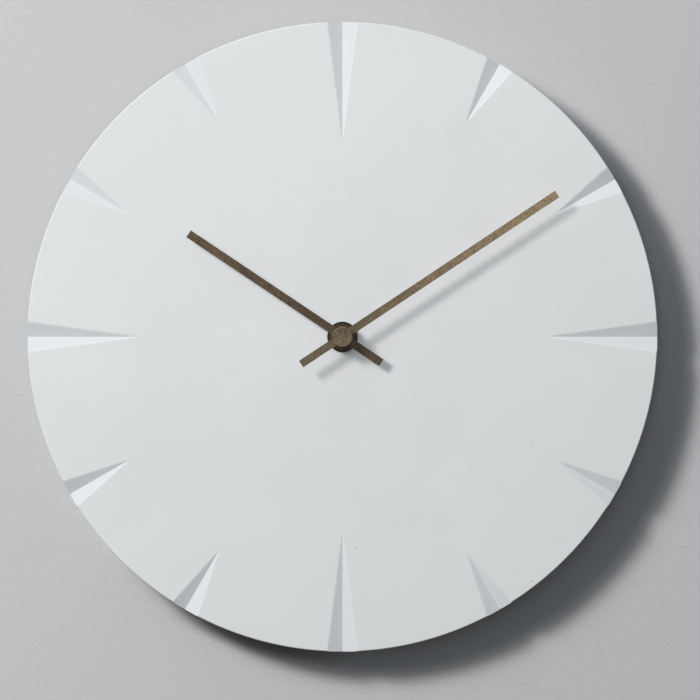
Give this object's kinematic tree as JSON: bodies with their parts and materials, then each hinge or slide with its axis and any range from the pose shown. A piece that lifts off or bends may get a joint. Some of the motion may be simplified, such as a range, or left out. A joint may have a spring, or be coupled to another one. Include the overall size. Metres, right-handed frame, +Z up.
{
  "type": "wall clock",
  "caption": "Round cast concrete wall clock with V notches at the hours, bronze strip hands and a battery movement let into its back, hung on a nail by a keyhole plate.",
  "frame": {"origin": "the nail's seat: where the nail carries the upper end of the keyhole, in the plane of the wall", "axes": "+Z up, +X to the right as the dial is read, -Y out of the dial towards the reader"},
  "size_m": [0.3, 0.0343, 0.3],
  "materials": {
    "concrete": "fine cast concrete, matt",
    "bronze_paint": "bronze metallic paint",
    "black_metal": "black, satin",
    "brass": "turned",
    "zinc_steel": "zinc-plated",
    "motor_iron": "stamped sheet",
    "magnet": "sintered",
    "black_plastic": "moulded",
    "white_plastic": "moulded",
    "grey_plastic": "moulded",
    "gasket_rubber": "matt sheet",
    "copper_wire": "enamelled wire",
    "board": "bare laminate",
    "black_resin": "cast drop",
    "battery_jacket": "plain foil jacket"
  },
  "bodies": {
    "clock": {"concrete_dial": "concrete", "hanger_plate": "zinc_steel", "hanger_screw_left": "zinc_steel", "hanger_screw_right": "zinc_steel", "anchor_left": "grey_plastic", "anchor_right": "grey_plastic", "case_front": "black_plastic", "back_cover": "black_plastic", "case_gasket": "gasket_rubber", "threaded_bushing": "brass", "dial_washer": "black_metal", "fixing_nut": "black_metal", "train_plate": "white_plastic", "train_bridge": "white_plastic", "stator": "motor_iron", "coil_core": "motor_iron", "coil_bobbin": "white_plastic", "coil_winding": "copper_wire", "circuit_board": "board", "chip_cap": "black_resin", "crystal": "zinc_steel", "positive_contact": "zinc_steel", "negative_contact": "zinc_steel", "battery": "battery_jacket"},
    "minute_hand": {"minute_arbor": "brass", "minute_hand": "bronze_paint", "hand_cap": "bronze_paint"},
    "hour_hand": {"hour_wheel": "white_plastic", "hour_hand": "bronze_paint", "hour_collet": "brass"},
    "motion_wheel": {"motion_wheel": "white_plastic", "set_knob": "white_plastic"},
    "seconds_wheel": {"seconds_wheel": "white_plastic"},
    "third_wheel": {"third_wheel": "white_plastic"},
    "centre_wheel": {"centre_wheel": "white_plastic"},
    "intermediate_wheel": {"intermediate_wheel": "white_plastic"},
    "rotor": {"rotor_pinion": "white_plastic", "rotor_magnet": "magnet"}
  },
  "joints": [
    {"name": "minute_turn", "type": "hinge", "parent": "clock", "child": "minute_hand", "pos_m": [0, 0, -0.1], "axis": [0, 1, 0], "continuous": true},
    {"name": "hour_turn", "type": "hinge", "parent": "clock", "child": "hour_hand", "pos_m": [0, 0, -0.1], "axis": [0, 1, 0], "continuous": true},
    {"name": "set_knob_turn", "type": "hinge", "parent": "clock", "child": "motion_wheel", "pos_m": [-0.009, 0, -0.1], "axis": [0, 1, 0], "continuous": true},
    {"name": "seconds_wheel_turn", "type": "hinge", "parent": "clock", "child": "seconds_wheel", "pos_m": [0, 0, -0.1], "axis": [0, 1, 0], "continuous": true},
    {"name": "third_wheel_turn", "type": "hinge", "parent": "clock", "child": "third_wheel", "pos_m": [0, 0, -0.09235], "axis": [0, 1, 0], "continuous": true},
    {"name": "centre_wheel_turn", "type": "hinge", "parent": "clock", "child": "centre_wheel", "pos_m": [0, 0, -0.1], "axis": [0, 1, 0], "continuous": true},
    {"name": "intermediate_wheel_turn", "type": "hinge", "parent": "clock", "child": "intermediate_wheel", "pos_m": [0.00744, 0, -0.10271], "axis": [0, 1, 0], "continuous": true},
    {"name": "rotor_turn", "type": "hinge", "parent": "clock", "child": "rotor", "pos_m": [0.01149, 0, -0.09788], "axis": [0, 1, 0], "continuous": true}
  ],
  "couplings": [
    {"joint": "hour_turn", "follows": "minute_turn", "ratio": 0.083333},
    {"joint": "set_knob_turn", "follows": "minute_turn", "ratio": -0.33333},
    {"joint": "third_wheel_turn", "follows": "seconds_wheel_turn", "ratio": -0.13333},
    {"joint": "centre_wheel_turn", "follows": "seconds_wheel_turn", "ratio": 0.016667},
    {"joint": "intermediate_wheel_turn", "follows": "seconds_wheel_turn", "ratio": -5},
    {"joint": "rotor_turn", "follows": "seconds_wheel_turn", "ratio": 30}
  ]
}
